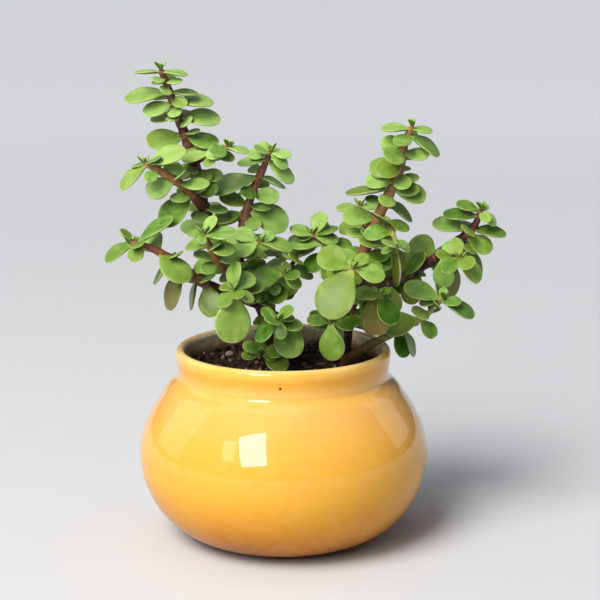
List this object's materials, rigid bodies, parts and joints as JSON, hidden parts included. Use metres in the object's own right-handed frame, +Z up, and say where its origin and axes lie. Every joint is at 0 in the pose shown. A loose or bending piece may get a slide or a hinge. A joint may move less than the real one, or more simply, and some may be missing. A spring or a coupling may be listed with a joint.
{
  "type": "potted jade plant",
  "caption": "Small leafy succulent with thick spoon-shaped leaves on branching stems, growing from soil in a round glazed ceramic pot with a short collar.",
  "frame": {"origin": "centre of the pot's flat base", "axes": "+Z up along the pot's axis; +X to the right of the plant's fullest side, which faces -Y"},
  "size_m": [0.1669, 0.123, 0.1984],
  "materials": {
    "pot_glaze": "polished",
    "soil": "matte",
    "left_foliage": "satin",
    "right_foliage": "satin",
    "sprig_foliage": "satin"
  },
  "bodies": {
    "root": {"pot": "pot_glaze", "soil": "soil", "left_stem": "left_foliage", "right_stem": "right_foliage", "low_sprig": "sprig_foliage"}
  },
  "joints": []
}
